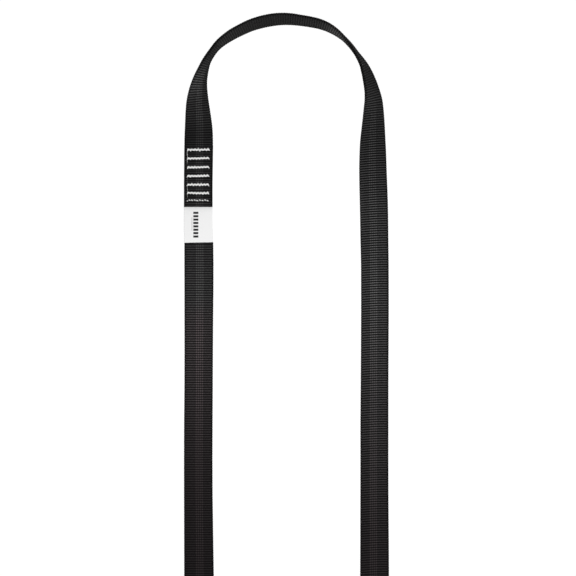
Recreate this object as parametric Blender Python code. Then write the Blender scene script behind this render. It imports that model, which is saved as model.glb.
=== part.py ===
"""Climbing sling: a sewn loop of tubular webbing with its bartacks, seam threads and folded label.

The sling lies on the ground (z = 0) as it was put down. Its two legs run along y, the joint is on the
left leg, and each end of the loop is an arch in which the webbing stands on its edge and turns over.
"""

import math

import bmesh
import bpy
import numpy as np
from mathutils import Matrix, Vector

# Loop and webbing
LOOP_LENGTH = 1.600
LEG_SPACING = 0.1565
WEBBING_WIDTH = 0.0250
WEBBING_WALL = 0.00105
TUBE_HOLLOW = 0.0003
CLEARANCE = 0.0003

# The arch, from the left leg's foot over the top to the right leg: across and up in shares of the leg
# spacing, then the lean of the webbing in degrees, 0 where the inner face is up and 180 where the outer is
ARCH_ROUTE_SHARES = (
    (-0.500, 0.000, 0.0),
    (-0.500, 0.085, 15.0),
    (-0.502, 0.142, 25.0),
    (-0.505, 0.199, 34.0),
    (-0.507, 0.256, 43.0),
    (-0.504, 0.313, 53.0),
    (-0.495, 0.369, 63.0),
    (-0.478, 0.426, 71.0),
    (-0.455, 0.483, 77.0),
    (-0.416, 0.540, 79.5),
    (-0.375, 0.585, 77.0),
    (-0.319, 0.626, 73.5),
    (-0.262, 0.657, 71.5),
    (-0.206, 0.683, 70.0),
    (-0.149, 0.701, 69.0),
    (-0.092, 0.713, 68.7),
    (-0.035, 0.719, 69.3),
    (0.022, 0.718, 70.4),
    (0.078, 0.711, 72.0),
    (0.135, 0.702, 73.2),
    (0.192, 0.689, 75.0),
    (0.249, 0.665, 78.0),
    (0.306, 0.625, 84.0),
    (0.363, 0.568, 91.0),
    (0.425, 0.483, 98.5),
    (0.452, 0.426, 106.0),
    (0.471, 0.369, 112.5),
    (0.485, 0.313, 118.5),
    (0.493, 0.256, 125.0),
    (0.494, 0.199, 131.0),
    (0.493, 0.142, 137.0),
    (0.491, 0.085, 143.5),
    (0.489, 0.028, 150.0),
    (0.489, -0.028, 155.0),
    (0.490, -0.142, 161.5),
    (0.493, -0.256, 165.5),
    (0.496, -0.369, 170.0),
    (0.499, -0.597, 176.0),
    (0.500, -0.850, 180.0),
)

# Sewn joint
GROUND_GAP = 0.0001
LIFT_FADE = 0.0400
END_RAMP = 0.0032
HIDDEN_END_MARGIN = 0.0020

# Bartacks, counted from the upper layer's end
BARTACKS = 6
BARTACK_THREAD = 0.00075
BARTACK_HEIGHT = 0.0027
BARTACK_PITCH = 0.00773
BARTACK_TOOTH = 0.0024
BARTACK_TIP = 0.0007
BARTACK_RIGHT_INSET = 0.0026
BARTACK_SEAM_GAP = 0.0005
BARTACK_RAMP_GAP = 0.00025
TROUGH_DEPTH = 0.0006
TROUGH_MARGIN = 0.0005

# Thin seam down the left side and along the end
SEAM_THREAD = 0.0004
SEAM_STITCH = 0.0022
SEAM_BUMP = 0.0001
SEAM_LEFT_INSET = 0.0020
SEAM_RIGHT_INSET = 0.0026
SEAM_TAB_INSET = 0.0008

# Label, as wide as the webbing but for a strip on its right
LABEL_RIGHT_INSET = 0.0006
LABEL_PLY = 0.00025
LABEL_SLIT = 0.0001
LABEL_LENGTH = 0.0321
LABEL_TAB_DEPTH = 0.0063
LABEL_HINGE_DISTANCE = 0.0050

# Fineness of the curves, and how far the cutters run past what they cut
STATION_SPACING = 0.0080
SPLINE_SAMPLES = 24
EDGE_STEPS = 4
FOLD_STEPS = 6
RAMP_STEPS = 4
HOLE_SIDES = 8
THREAD_RESOLUTION = 2
SHARP_DEGREES = 50
CUTTER_OVERRUN = 0.0010

# Across the left leg
LEG_X = LEG_SPACING / 2
LEFT_EDGE_X = -LEG_X - WEBBING_WIDTH / 2
RIGHT_EDGE_X = -LEG_X + WEBBING_WIDTH / 2
SEAM_LEFT_X = LEFT_EDGE_X + SEAM_LEFT_INSET
SEAM_RIGHT_X = RIGHT_EDGE_X - SEAM_RIGHT_INSET
BARTACK_LEFT_X = SEAM_LEFT_X + SEAM_THREAD / 2 + BARTACK_SEAM_GAP + TROUGH_MARGIN
BARTACK_RIGHT_X = RIGHT_EDGE_X - BARTACK_RIGHT_INSET
LABEL_RIGHT_X = RIGHT_EDGE_X - LABEL_RIGHT_INSET
LABEL_WIDTH = LABEL_RIGHT_X - LEFT_EDGE_X
LABEL_X = (LABEL_RIGHT_X + LEFT_EDGE_X) / 2

# Up through the joint
WEBBING_THICKNESS = 2 * WEBBING_WALL + TUBE_HOLLOW
LABEL_THICKNESS = 2 * LABEL_PLY + LABEL_SLIT
SEAM_LIFT = GROUND_GAP + max(SEAM_THREAD + SEAM_BUMP, BARTACK_THREAD - TROUGH_DEPTH) + CLEARANCE
FRONT_BOTTOM = SEAM_LIFT + WEBBING_THICKNESS + CLEARANCE
LABEL_TOP = FRONT_BOTTOM + LABEL_THICKNESS
END_RISE = LABEL_THICKNESS + CLEARANCE

# Along the joint, from the upper layer's end
RAMP_END_DISTANCE = LABEL_TAB_DEPTH + CLEARANCE
RAMP_START_DISTANCE = RAMP_END_DISTANCE + END_RAMP
TROUGH_HALF_HEIGHT = BARTACK_HEIGHT / 2 + TROUGH_MARGIN
FIRST_BARTACK_DISTANCE = RAMP_START_DISTANCE + BARTACK_RAMP_GAP + TROUGH_HALF_HEIGHT
LAST_BARTACK_DISTANCE = FIRST_BARTACK_DISTANCE + (BARTACKS - 1) * BARTACK_PITCH
OVERLAP = LAST_BARTACK_DISTANCE + TROUGH_HALF_HEIGHT + HIDDEN_END_MARGIN


def clear_scene():
    for item in list(bpy.data.objects):
        bpy.data.objects.remove(item, do_unlink=True)


def make_collection(name):
    collection = bpy.data.collections.new(name)
    bpy.context.scene.collection.children.link(collection)
    return collection


def make_material(name, colour, roughness):
    material = bpy.data.materials.new(name)
    material.use_nodes = True
    shader = material.node_tree.nodes["Principled BSDF"]
    shader.inputs["Base Color"].default_value = (*colour, 1.0)
    shader.inputs["Roughness"].default_value = roughness
    return material


def add_object(name, data, collection, material=None):
    item = bpy.data.objects.new(name, data)
    collection.objects.link(item)
    if material is not None:
        data.materials.append(material)
    return item


def smooth_step(value):
    """0 below 0, 1 above 1, and an even S between them."""
    share = min(max(value, 0.0), 1.0)
    return share * share * (3.0 - 2.0 * share)


def lengths_along(points):
    steps = np.linalg.norm(np.diff(points, axis=0), axis=1)
    return np.concatenate(([0.0], np.cumsum(steps)))


def arch_route():
    """Even steps of x, y above the foot and lean on a smooth curve through the points, and its length."""
    keys = np.array(ARCH_ROUTE_SHARES)
    keys[:, :2] *= LEG_SPACING
    padded = np.vstack((2 * keys[0] - keys[1], keys, 2 * keys[-1] - keys[-2]))
    rows = []
    for index in range(len(keys) - 1):
        before, start, end, after = padded[index:index + 4]
        for t in np.arange(SPLINE_SAMPLES) / SPLINE_SAMPLES:
            linear = (end - before) * t
            square = (2 * before - 5 * start + 4 * end - after) * t ** 2
            cube = (3 * start - before - 3 * end + after) * t ** 3
            rows.append((2 * start + linear + square + cube) / 2)
    rows = np.array((*rows, keys[-1]))
    travelled = lengths_along(rows[:, :2])
    count = round(travelled[-1] / STATION_SPACING)
    even = np.linspace(0.0, travelled[-1], count + 1)
    columns = [np.interp(even, travelled, rows[:, column]) for column in range(rows.shape[1])]
    return np.column_stack(columns), travelled[-1]


ARCH, ARCH_LENGTH = arch_route()
RIGHT_FOOT_DROP = -ARCH[-1][1]
FOOT_Y = (LOOP_LENGTH / 2 - ARCH_LENGTH + RIGHT_FOOT_DROP) / 2
FRONT_END_Y = FOOT_Y - OVERLAP
LABEL_END_Y = FRONT_END_Y - LABEL_LENGTH
PLATEAU_END_Y = LABEL_END_Y - CLEARANCE
HINGE_Y = FRONT_END_Y - LABEL_HINGE_DISTANCE
RAMP_END_Y = FRONT_END_Y + RAMP_END_DISTANCE
RAMP_START_Y = FRONT_END_Y + RAMP_START_DISTANCE


def resting_height(lean):
    """Height of the webbing's middle when its lower edge touches the ground at this lean in degrees."""
    rise = abs(math.sin(math.radians(lean)))
    return (WEBBING_WIDTH - WEBBING_THICKNESS) / 2 * rise + WEBBING_THICKNESS / 2


def back_lift(y):
    """How far the lower layer lies above the ground on the left leg."""
    return SEAM_LIFT * (1.0 - smooth_step((PLATEAU_END_Y - y) / LIFT_FADE))


def front_bottom(y):
    """Height of the upper layer's under side, which rises over the label's sewn end."""
    return FRONT_BOTTOM + END_RISE * smooth_step((RAMP_START_Y - y) / END_RAMP)


def front_top(y):
    return front_bottom(y) + WEBBING_THICKNESS


def arch_lift(above):
    """How far the webbing still lies above the ground this far beyond the joint."""
    return FRONT_BOTTOM * (1.0 - smooth_step(above / LIFT_FADE))


def spaced(start, end):
    count = max(1, round(abs(end - start) / STATION_SPACING))
    return np.linspace(start, end, count + 1)


def webbing_stations():
    """Rows of x, y, z and lean from the hidden end, down the left leg and round to the end on top."""
    flat = resting_height(0.0)
    rows = [(-LEG_X, y, SEAM_LIFT + flat, 0.0) for y in (FOOT_Y, FRONT_END_Y)]
    for y in spaced(PLATEAU_END_Y, PLATEAU_END_Y - LIFT_FADE):
        rows.append((-LEG_X, y, back_lift(y) + flat, 0.0))
    for x, above, lean in ARCH:
        rows.append((x, -FOOT_Y - above, resting_height(lean), lean))
    for x, above, lean in ARCH[::-1]:
        lift = arch_lift(above) if x < 0.0 else 0.0
        rows.append((x, FOOT_Y + above, resting_height(lean) + lift, lean))
    for y in (*np.linspace(RAMP_START_Y, RAMP_END_Y, RAMP_STEPS + 1), FRONT_END_Y):
        rows.append((-LEG_X, y, front_bottom(y) + flat, 0.0))
    return rows


def section_outline(inset):
    """The flattened tube's outline this far under its face: two flats joined by half-round edges."""
    radius = WEBBING_THICKNESS / 2 - inset
    points = []
    for side in (1, -1):
        for step in range(EDGE_STEPS + 1):
            angle = math.pi * (0.5 - step / EDGE_STEPS)
            across = (WEBBING_WIDTH - WEBBING_THICKNESS) / 2 + radius * math.cos(angle)
            points.append((side * across, side * radius * math.sin(angle)))
    return points


def flat_curve(name, points):
    """A closed outline in the curve's own xy plane."""
    data = bpy.data.curves.new(name, "CURVE")
    data.dimensions = "2D"
    data.fill_mode = "BOTH"
    spline = data.splines.new("POLY")
    spline.points.add(len(points) - 1)
    for point, (x, y) in zip(spline.points, points):
        point.co = (x, y, 0.0, 1.0)
    spline.use_cyclic_u = True
    return data


def hide_guide(item):
    item.hide_render = True
    item.display_type = "WIRE"


def box_into(shape, low, high):
    """Adds a box to a bmesh from its lowest to its highest corner."""
    middle = [(a + b) / 2 for a, b in zip(low, high)]
    size = [b - a for a, b in zip(low, high)]
    bmesh.ops.create_cube(shape, size=1.0, matrix=Matrix.LocRotScale(middle, None, size))


def hole_into(shape, x, y, low, high, radius):
    """Adds an upright needle hole's cylinder to a bmesh."""
    matrix = Matrix.Translation((x, y, (low + high) / 2))
    bmesh.ops.create_cone(shape, cap_ends=True, segments=HOLE_SIDES, radius1=radius, radius2=radius,
                          depth=high - low, matrix=matrix)


def mesh_from(name, shape):
    mesh = bpy.data.meshes.new(name)
    shape.to_mesh(mesh)
    shape.free()
    return mesh


def webbing_rings(inset):
    """The section's outline at each station, square to the way there and leaning as the webbing does."""
    rows = webbing_stations()
    places = [Vector(row[:-1]) for row in rows]
    ways = [(after - before).normalized() for before, after in zip(places, places[1:])]
    rings = []
    for place, row, before, after in zip(places, rows, (ways[0], *ways), (*ways, ways[-1])):
        way = (before + after).normalized()
        level = Vector((way.y, -way.x, 0.0)).normalized()
        lean = math.radians(row[-1])
        inner = math.cos(lean) * level.cross(way) - math.sin(lean) * level
        across = way.cross(inner)
        rings.append([place + x * across + y * inner for x, y in section_outline(inset)])
    return rings


def skin_into(shape, rings):
    """Adds a skin's corners and triangles to a bmesh. Both flats are split along the same diagonals, so
    that the walls stay apart where the webbing twists."""
    skin = [[shape.verts.new(corner) for corner in ring] for ring in rings]
    faces = []
    for low, high in zip(skin, skin[1:]):
        for step, (start, low_after) in enumerate(zip(low, (*low[1:], low[0]))):
            end, high_after = high[step], high[(step + 1) % len(high)]
            if step == EDGE_STEPS:
                corners = (start, low_after, end), (low_after, high_after, end)
            else:
                corners = (start, low_after, high_after), (start, high_after, end)
            faces += [shape.faces.new(three) for three in corners]
    return skin, faces


def make_webbing(collection, material):
    """A tube with an outer and an inner skin, joined by a rim at each end."""
    shape = bmesh.new()
    outer, _ = skin_into(shape, webbing_rings(0.0))
    inner, inside_faces = skin_into(shape, webbing_rings(WEBBING_WALL))
    for face in inside_faces:
        face.normal_flip()
    for wide, narrow in ((outer[0], inner[0]), (outer[-1][::-1], inner[-1][::-1])):
        for step in range(len(wide)):
            after = (step + 1) % len(wide)
            shape.faces.new((wide[step], narrow[step], narrow[after], wide[after]))
    mesh = mesh_from("webbing", shape)
    mesh.shade_smooth()
    mesh.set_sharp_from_angle(angle=math.radians(SHARP_DEGREES))
    return add_object("webbing", mesh, collection, material)


def bartack_y(index):
    return FRONT_END_Y + FIRST_BARTACK_DISTANCE + index * BARTACK_PITCH


def bartack_ends_x():
    """The middles of a bar's first and last needle holes."""
    return BARTACK_LEFT_X + BARTACK_THREAD / 2, BARTACK_RIGHT_X - BARTACK_THREAD / 2


def zigzag(index):
    """The bar's teeth as x and y, flat at their tips. They start and end on the bar's middle line."""
    start_x, end_x = bartack_ends_x()
    half_teeth = 2 * round((end_x - start_x) / BARTACK_TOOTH)
    half_tooth = (end_x - start_x) / half_teeth
    reach = (BARTACK_HEIGHT - BARTACK_THREAD) / 2
    points = [(start_x, bartack_y(index))]
    for step in range(half_teeth):
        tip_x = start_x + (step + 0.5) * half_tooth
        tip_y = bartack_y(index) + (reach if step % 2 else -reach)
        points.append((tip_x - BARTACK_TIP / 2, tip_y))
        points.append((tip_x + BARTACK_TIP / 2, tip_y))
    points.append((end_x, bartack_y(index)))
    return points


def add_thread(name, points, diameter, collection, material):
    """A round thread through x, y, z points, with flat ends."""
    data = bpy.data.curves.new(name, "CURVE")
    data.dimensions = "3D"
    data.twist_mode = "MINIMUM"
    data.bevel_depth = diameter / 2
    data.bevel_resolution = THREAD_RESOLUTION
    data.use_fill_caps = True
    spline = data.splines.new("POLY")
    spline.points.add(len(points) - 1)
    for point, (x, y, z) in zip(spline.points, points):
        point.co = (x, y, z, 1.0)
    add_object(name, data, collection, material)


def make_bartack_threads(index, collection, material):
    """The needle thread lies on the upper layer and the bobbin thread under the lower one."""
    y = bartack_y(index)
    teeth = zigzag(index)
    start_x, end_x = bartack_ends_x()
    depth = TROUGH_DEPTH - CLEARANCE - BARTACK_THREAD / 2
    faces = (
        ("needle", front_top(y) - depth, front_bottom(y)),
        ("bobbin", SEAM_LIFT + depth, front_bottom(y) - CLEARANCE),
    )
    for kind, level, tip in faces:
        run = [(x, tooth_y, level) for x, tooth_y in teeth]
        points = [(start_x, y, tip), *run, (end_x, y, tip)]
        add_thread(f"bartack_{index + 1}_{kind}_thread", points, BARTACK_THREAD, collection, material)


def seam_corners():
    """The thin seam's start, corner and end."""
    row_y = FRONT_END_Y + LABEL_TAB_DEPTH - SEAM_TAB_INSET
    return (SEAM_LEFT_X, bartack_y(BARTACKS - 1)), (SEAM_LEFT_X, row_y), (SEAM_RIGHT_X, row_y)


def seam_path():
    """The thin seam as x, y and rise, which is 1 at the middle of each stitch and 0 where it dips."""
    start, corner, end = seam_corners()
    points = [(*start, 0.0)]
    for (x0, y0), (x1, y1) in ((start, corner), (corner, end)):
        half_stitches = 2 * round(math.hypot(x1 - x0, y1 - y0) / SEAM_STITCH)
        for step in range(1, half_stitches + 1):
            share = step / half_stitches
            points.append((x0 + share * (x1 - x0), y0 + share * (y1 - y0), step % 2))
    return points


def make_seam_threads(collection, material):
    clear = CLEARANCE + SEAM_THREAD / 2
    path = seam_path()
    on_top = [(x, y, front_top(y) + clear + SEAM_BUMP * rise) for x, y, rise in path]
    below = [(x, y, SEAM_LIFT - clear - SEAM_BUMP * rise) for x, y, rise in path]
    for kind, run, drop in (("needle", on_top, 0.0), ("bobbin", below, CLEARANCE)):
        first = (*run[0][:2], front_bottom(run[0][1]) - drop)
        last = (*run[-1][:2], front_bottom(run[-1][1]) - drop)
        add_thread(f"seam_{kind}_thread", [first, *run, last], SEAM_THREAD, collection, material)


def make_troughs(guides):
    """Each bar pulls the cloth down under its stitches, on both faces of the joint."""
    shape = bmesh.new()
    left_x = BARTACK_LEFT_X - TROUGH_MARGIN
    right_x = BARTACK_RIGHT_X + TROUGH_MARGIN
    for index in range(BARTACKS):
        low_y = bartack_y(index) - TROUGH_HALF_HEIGHT
        high_y = bartack_y(index) + TROUGH_HALF_HEIGHT
        top = front_top(bartack_y(index))
        for low, high in ((top - TROUGH_DEPTH, top + CUTTER_OVERRUN),
                          (SEAM_LIFT - CUTTER_OVERRUN, SEAM_LIFT + TROUGH_DEPTH)):
            box_into(shape, (left_x, low_y, low), (right_x, high_y, high))
    cutter = add_object("bartack_troughs", mesh_from("bartack_troughs", shape), guides)
    hide_guide(cutter)
    return cutter


def make_needle_holes(guides):
    """The holes at the ends of each bar and of the thin seam, through both layers and the label."""
    shape = bmesh.new()
    start, _, end = seam_corners()
    places = [(*start, SEAM_THREAD), (*end, SEAM_THREAD)]
    for index in range(BARTACKS):
        places += [(x, bartack_y(index), BARTACK_THREAD) for x in bartack_ends_x()]
    low = SEAM_LIFT - CUTTER_OVERRUN
    for x, y, thread in places:
        hole_into(shape, x, y, low, front_top(y) + CUTTER_OVERRUN, thread / 2 + CLEARANCE)
    cutter = add_object("needle_holes", mesh_from("needle_holes", shape), guides)
    hide_guide(cutter)
    return cutter


def cut(item, cutter):
    modifier = item.modifiers.new(cutter.name, "BOOLEAN")
    modifier.operation = "DIFFERENCE"
    modifier.object = cutter
    modifier.solver = "EXACT"


def make_label_tab(collection, material):
    """The label's sewn end, flat between the two layers and out to the fold line."""
    shape = bmesh.new()
    low = (LEFT_EDGE_X, HINGE_Y + CLEARANCE / 2, LABEL_TOP - LABEL_THICKNESS)
    high = (LABEL_RIGHT_X, FRONT_END_Y + LABEL_TAB_DEPTH, LABEL_TOP)
    box_into(shape, low, high)
    return add_object("label_tab", mesh_from("label_tab", shape), collection, material)


def fold_arc(middle, radius, start_degrees, end_degrees):
    points = []
    for step in range(FOLD_STEPS + 1):
        angle = math.radians(start_degrees + (end_degrees - start_degrees) * step / FOLD_STEPS)
        points.append((middle[0] + radius * math.cos(angle), middle[1] + radius * math.sin(angle)))
    return points


def make_label_flap(collection, material):
    """The two plies outside the seam, folded at the far end. The origin is where the flap bends."""
    near = -CLEARANCE / 2
    middle = (-(LABEL_LENGTH - LABEL_HINGE_DISTANCE - LABEL_THICKNESS / 2), -LABEL_THICKNESS / 2)
    outside = fold_arc(middle, LABEL_THICKNESS / 2, 90, 270)
    inside = fold_arc(middle, LABEL_SLIT / 2, 270, 90)
    outline = [(near, 0.0), *outside, (near, -LABEL_THICKNESS),
               (near, LABEL_PLY - LABEL_THICKNESS), *inside, (near, -LABEL_PLY)]
    data = flat_curve("label_flap", outline)
    data.extrude = LABEL_WIDTH / 2
    flap = add_object("label_flap", data, collection, material)
    flap.rotation_euler = (math.radians(90), 0.0, math.radians(90))
    flap.location = (LABEL_X, HINGE_Y, LABEL_TOP)


def main():
    clear_scene()
    sling = make_collection("climbing_sling")
    guides = make_collection("guides_and_cutters")
    black = make_material("black_webbing", (0.020, 0.019, 0.020), 0.85)
    white = make_material("white_thread", (0.800, 0.795, 0.780), 0.60)
    label_white = make_material("white_label", (0.870, 0.870, 0.870), 0.70)
    webbing = make_webbing(sling, black)
    needle_holes = make_needle_holes(guides)
    cut(webbing, make_troughs(guides))
    cut(webbing, needle_holes)
    cut(make_label_tab(sling, label_white), needle_holes)
    make_label_flap(sling, label_white)
    for index in range(BARTACKS):
        make_bartack_threads(index, sling, white)
    make_seam_threads(sling, white)


main()
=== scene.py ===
# %% [markdown]
# # A sewn climbing sling
# The object is one loop of flat tubular webbing. Its ends overlap on the left leg, where six bartacks and
# a fine seam join them, and a folded white label hangs out of the joint. It lies on the ground with one
# leg turned over, so the webbing stands on its edge at both ends of the loop.
#
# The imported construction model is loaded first. It fixes every size and place, and what is made below is
# the visible surface that goes over it. Its box is kept, to compare with the finished surface at the end.

# %% Load the construction model
import math

import bmesh
import bpy
import numpy as np
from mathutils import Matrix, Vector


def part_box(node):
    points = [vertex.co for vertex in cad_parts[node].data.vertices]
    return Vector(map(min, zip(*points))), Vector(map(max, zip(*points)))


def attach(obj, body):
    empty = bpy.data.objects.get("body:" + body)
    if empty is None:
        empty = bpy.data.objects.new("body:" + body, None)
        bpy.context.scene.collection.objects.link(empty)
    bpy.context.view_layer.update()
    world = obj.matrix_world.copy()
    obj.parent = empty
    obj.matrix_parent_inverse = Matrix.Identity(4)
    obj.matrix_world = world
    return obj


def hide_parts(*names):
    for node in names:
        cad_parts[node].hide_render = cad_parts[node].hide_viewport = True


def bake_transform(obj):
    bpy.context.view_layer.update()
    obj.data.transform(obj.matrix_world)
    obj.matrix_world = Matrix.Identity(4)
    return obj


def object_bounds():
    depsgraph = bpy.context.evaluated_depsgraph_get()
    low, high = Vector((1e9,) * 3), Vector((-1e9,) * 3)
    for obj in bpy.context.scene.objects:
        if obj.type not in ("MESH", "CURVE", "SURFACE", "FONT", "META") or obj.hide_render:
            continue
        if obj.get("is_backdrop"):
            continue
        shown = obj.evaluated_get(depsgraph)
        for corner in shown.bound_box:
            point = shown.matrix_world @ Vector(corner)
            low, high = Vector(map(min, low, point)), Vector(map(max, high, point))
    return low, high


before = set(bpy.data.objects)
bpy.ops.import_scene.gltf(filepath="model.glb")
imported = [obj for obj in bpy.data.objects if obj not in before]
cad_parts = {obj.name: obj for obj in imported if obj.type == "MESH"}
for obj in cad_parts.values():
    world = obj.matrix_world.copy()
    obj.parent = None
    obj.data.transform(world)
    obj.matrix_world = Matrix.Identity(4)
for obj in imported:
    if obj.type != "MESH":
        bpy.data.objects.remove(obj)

cad_low, cad_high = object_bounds()
print("box in mm:", [round(1000 * (high - low), 1) for low, high in zip(cad_low, cad_high)])

# %% [markdown]
# ## Sizes
# The loop's own sizes are written once here, in metres. They repeat the construction model's, because a
# soft piece has to lie exactly where its plain solid lies. Places in the joint are read from the loaded
# solids instead: the label's sewn end and the threads say where the two layers of webbing are. Each group
# of the arch gives a point from the loop's middle line and its foot, both in leg spacings, and the tape's
# lean there in degrees: 0 lies on one face, 90 stands on its edge, 180 lies on the other face.

# %% Sizes of the loop
LOOP_LENGTH = 1.600
LEG_SPACING = 0.1565
WEBBING_WIDTH = 0.0250
WEBBING_THICKNESS = 0.0024
HALF_WIDTH = WEBBING_WIDTH / 2
HALF_THICKNESS = WEBBING_THICKNESS / 2
LIFT_FADE = 0.0400
END_RAMP = 0.0032
LABEL_TAB_DEPTH = 0.0063
CLEARANCE = 0.0003
BARTACKS = 6

ARCH_ROUTE_SHARES = (
    (-0.500, 0.000, 0.0), (-0.500, 0.085, 15.0), (-0.502, 0.142, 25.0), (-0.505, 0.199, 34.0),
    (-0.507, 0.256, 43.0), (-0.504, 0.313, 53.0), (-0.495, 0.369, 63.0), (-0.478, 0.426, 71.0),
    (-0.455, 0.483, 77.0), (-0.416, 0.540, 79.5), (-0.375, 0.585, 77.0), (-0.319, 0.626, 73.5),
    (-0.262, 0.657, 71.5), (-0.206, 0.683, 70.0), (-0.149, 0.701, 69.0), (-0.092, 0.713, 68.7),
    (-0.035, 0.719, 69.3), (0.022, 0.718, 70.4), (0.078, 0.711, 72.0), (0.135, 0.702, 73.2),
    (0.192, 0.689, 75.0), (0.249, 0.665, 78.0), (0.306, 0.625, 84.0), (0.363, 0.568, 91.0),
    (0.425, 0.483, 98.5), (0.452, 0.426, 106.0), (0.471, 0.369, 112.5), (0.485, 0.313, 118.5),
    (0.493, 0.256, 125.0), (0.494, 0.199, 131.0), (0.493, 0.142, 137.0), (0.491, 0.085, 143.5),
    (0.489, 0.028, 150.0), (0.489, -0.028, 155.0), (0.490, -0.142, 161.5), (0.493, -0.256, 165.5),
    (0.496, -0.369, 170.0), (0.499, -0.597, 176.0), (0.500, -0.850, 180.0),
)
print("points given for the arch:", len(ARCH_ROUTE_SHARES))

# %% Places read from the construction model
tab_low, tab_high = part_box("label_tab")
flap_low, flap_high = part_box("label_flap")
needle_boxes = [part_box(f"bartack_{number}_needle_thread") for number in range(1, BARTACKS + 1)]
LEG_X = LEG_SPACING / 2
FRONT_END_Y = tab_high.y - LABEL_TAB_DEPTH
FRONT_BOTTOM = needle_boxes[0][0].z
SEAM_LIFT = FRONT_BOTTOM - CLEARANCE - WEBBING_THICKNESS
END_RISE = tab_high.z - tab_low.z + CLEARANCE
PLATEAU_END_Y = flap_low.y - CLEARANCE
RAMP_START_Y = tab_high.y + CLEARANCE + END_RAMP
bartack_rows = [(low.y + high.y) / 2 for low, high in needle_boxes]
print("upper layer ends at y =", round(FRONT_END_Y, 6))
print("its under side lies at z =", round(FRONT_BOTTOM, 6))
print("bartack rows at y =", [round(y, 5) for y in bartack_rows])

# %% [markdown]
# ## Camera
# The sling was photographed from straight above with a long lens, so both legs look equally wide from top
# to bottom. A long lens far away gives that, and a perspective camera keeps working when the view is moved
# round the object. Its height follows from how much ground the frame shows.

# %% Camera straight above
FRAME_PIXELS = 576
LEG_SPACING_PIXELS = 176.0
MIDDLE_PIXEL_X = 286.7
FOOT_PIXEL_Y = 145.5
LENS_MM = 800.0
SENSOR_MM = 36.0
SAMPLES_PER_POINT = 24


def arch_rows():
    """x, height above the foot and lean on a smooth curve through the route's points."""
    keys = np.array(ARCH_ROUTE_SHARES)
    keys[:, :2] *= LEG_SPACING
    padded = np.vstack((2 * keys[0] - keys[1], keys, 2 * keys[-1] - keys[-2]))
    rows = []
    for index in range(len(keys) - 1):
        before, start, end, after = padded[index:index + 4]
        for t in np.arange(SAMPLES_PER_POINT) / SAMPLES_PER_POINT:
            linear = (end - before) * t
            square = (2 * before - 5 * start + 4 * end - after) * t ** 2
            cube = (3 * start - before - 3 * end + after) * t ** 3
            rows.append((2 * start + linear + square + cube) / 2)
    return np.array((*rows, keys[-1]))


def new_object(name, data):
    """An object in the scene that holds this camera, lamp or mesh."""
    item = bpy.data.objects.new(name, data)
    bpy.context.scene.collection.objects.link(item)
    return item


arch = arch_rows()
ARCH_LENGTH = np.linalg.norm(np.diff(arch[:, :2], axis=0), axis=1).sum()
FOOT_Y = (LOOP_LENGTH / 2 - ARCH_LENGTH - arch[-1][1]) / 2
metres_per_pixel = LEG_SPACING / LEG_SPACING_PIXELS
camera = new_object("camera", bpy.data.cameras.new("camera"))
camera.data.lens = LENS_MM
camera.data.sensor_width = SENSOR_MM
camera.location = (
    (FRAME_PIXELS / 2 - MIDDLE_PIXEL_X) * metres_per_pixel,
    FOOT_Y - (FRAME_PIXELS / 2 - FOOT_PIXEL_Y) * metres_per_pixel,
    FRONT_BOTTOM + FRAME_PIXELS * metres_per_pixel * LENS_MM / SENSOR_MM,
)
bpy.context.scene.camera = camera
bpy.context.scene.view_settings.view_transform = "Standard"
print("the leg meets the arch at y =", round(FOOT_Y, 6))
print("the camera is at", [round(place, 4) for place in camera.location])

# %% [markdown]
# ## The webbing's route
# Webbing is woven flat and doesn't stretch, so its shape is a path with a lean at each point: how far the
# flat side is turned from lying on the ground. The path starts at the hidden end under the joint, goes
# down the left leg, round the far end, up the right leg, over the near end and back to the joint. Where
# the tube stands on its edge and bends, its two walls part a little, and that gap is stored as well. Cloth
# lies over a little further than a stiff solid would, so the arch's lean is eased by up to two degrees. The
# last table lays the arch's outline where the photograph shows it: it moves the path by up to 0.2 mm and
# turns the lean until the tape looks up to 0.9 mm wider or 0.5 mm narrower.

# %% Heights along the route
LEG_STEP = 0.0010
END_FUZZ = 0.00045
EDGE_FUZZ = 0.00038
LEAN_EASE = 2.0
LEAN_TURN = 0.02
LEAST_SINE = 0.35
ARCH_INSET = 0.00020
INSET_FADE = 0.3
# share of the arch's length, then millimetres outwards and millimetres wider
ARCH_FIT = np.array((
    (0.000, 0.00, 0.00), (0.050, 0.10, -0.20), (0.081, 0.16, -0.24), (0.111, 0.10, -0.50),
    (0.141, -0.07, -0.13), (0.171, -0.14, 0.00), (0.202, 0.12, 0.36), (0.232, -0.04, 0.32),
    (0.262, -0.03, -0.05), (0.293, -0.10, -0.26), (0.353, -0.02, -0.26), (0.384, 0.05, -0.24),
    (0.414, 0.03, 0.12), (0.444, -0.10, 0.06), (0.474, -0.05, 0.46), (0.505, 0.05, 0.45),
    (0.535, -0.18, 0.86), (0.565, -0.12, 0.42), (0.596, -0.09, -0.26), (0.626, -0.04, 0.03),
    (0.656, 0.00, -0.06), (0.687, 0.05, -0.18), (0.740, 0.00, 0.00), (1.000, 0.00, 0.00),
)) * (1.0, 0.001, 0.001)


def smooth_step(value):
    share = np.clip(value, 0.0, 1.0)
    return share * share * (3.0 - 2.0 * share)


def resting_height(lean):
    rise = abs(math.sin(math.radians(lean)))
    return ((WEBBING_WIDTH - WEBBING_THICKNESS) / 2 + EDGE_FUZZ) * rise + HALF_THICKNESS


def back_height(y):
    """Middle of the lower layer on the left leg."""
    lift = SEAM_LIFT * (1.0 - smooth_step((PLATEAU_END_Y - y) / LIFT_FADE))
    return lift + HALF_THICKNESS


def front_height(y):
    """Middle of the upper layer in the joint."""
    rise = END_RISE * smooth_step((RAMP_START_Y - y) / END_RAMP)
    return FRONT_BOTTOM + rise + HALF_THICKNESS


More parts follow.
